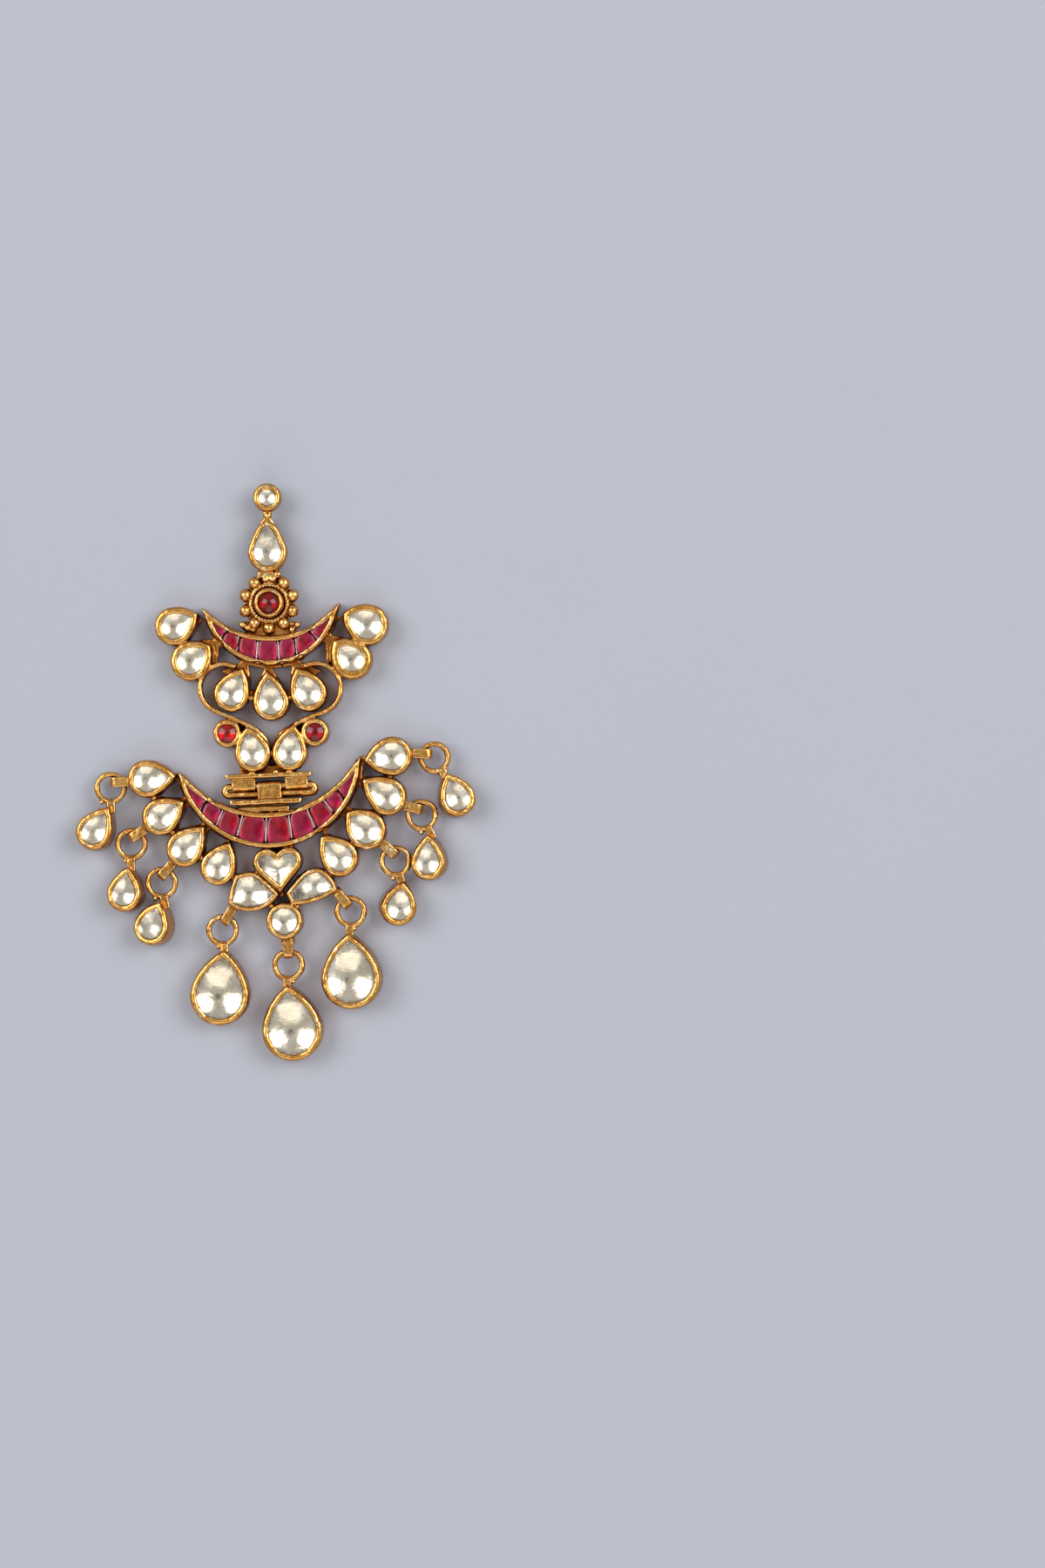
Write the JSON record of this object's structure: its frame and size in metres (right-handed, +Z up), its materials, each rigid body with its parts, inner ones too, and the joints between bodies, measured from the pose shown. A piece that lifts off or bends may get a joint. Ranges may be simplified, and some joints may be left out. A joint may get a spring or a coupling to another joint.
{
  "type": "dangle earring",
  "caption": "Hinged chandelier earring lying on its back: a flower and a crescent above a wide crescent fan, with flat clear stones and rubies in closed gold settings and drops on rings.",
  "frame": {"origin": "under the middle of the whole earring's box, on the surface that it lies on", "axes": "+Y towards the ear end, +Z up out of the stones' fronts, +X to the right of a viewer who looks down on it"},
  "size_m": [0.046, 0.0662, 0.0037],
  "materials": {
    "gold": "satin",
    "clear_stone": "polished, over foil",
    "ruby": "polished, over foil"
  },
  "bodies": {
    "upper": {"upper_frame": "gold", "ear_post": "gold", "top_round_stone": "clear_stone", "top_drop_stone": "clear_stone", "flower_ruby": "ruby", "upper_ruby_row": "ruby", "upper_stone_left_1": "clear_stone", "upper_stone_left_2": "clear_stone", "upper_stone_right_1": "clear_stone", "upper_stone_right_2": "clear_stone", "upper_stone_middle_1": "clear_stone", "upper_stone_middle_2": "clear_stone", "upper_stone_middle_3": "clear_stone", "small_ruby_left": "ruby", "small_ruby_right": "ruby", "upper_stone_bottom_1": "clear_stone", "upper_stone_bottom_2": "clear_stone"},
    "lower": {"lower_frame": "gold", "hinge_link": "gold", "lower_ruby_row": "ruby", "fan_stone_left_1": "clear_stone", "fan_stone_left_2": "clear_stone", "fan_stone_left_3": "clear_stone", "fan_stone_left_4": "clear_stone", "fan_stone_right_1": "clear_stone", "fan_stone_right_2": "clear_stone", "fan_stone_right_3": "clear_stone", "fan_stone_right_4": "clear_stone", "heart_stone": "clear_stone", "leaf_stone_left": "clear_stone", "leaf_stone_right": "clear_stone", "lower_round_stone": "clear_stone", "drop_setting_left_1": "gold", "drop_setting_left_2": "gold", "drop_setting_left_3": "gold", "drop_setting_right_1": "gold", "drop_setting_right_2": "gold", "drop_setting_right_3": "gold", "drop_setting_bottom_1": "gold", "drop_setting_bottom_2": "gold", "drop_setting_bottom_3": "gold", "drop_stone_left_1": "clear_stone", "drop_stone_left_2": "clear_stone", "drop_stone_left_3": "clear_stone", "drop_stone_right_1": "clear_stone", "drop_stone_right_2": "clear_stone", "drop_stone_right_3": "clear_stone", "drop_stone_bottom_1": "clear_stone", "drop_stone_bottom_2": "clear_stone", "drop_stone_bottom_3": "clear_stone"}
  },
  "joints": [
    {"name": "crescent_hinge", "type": "hinge", "parent": "upper", "child": "lower", "pos_m": [-0.00075, -0.00155, 0.0016], "axis": [0.999, 0.0436, 0], "range_deg": [-100, 100]}
  ]
}
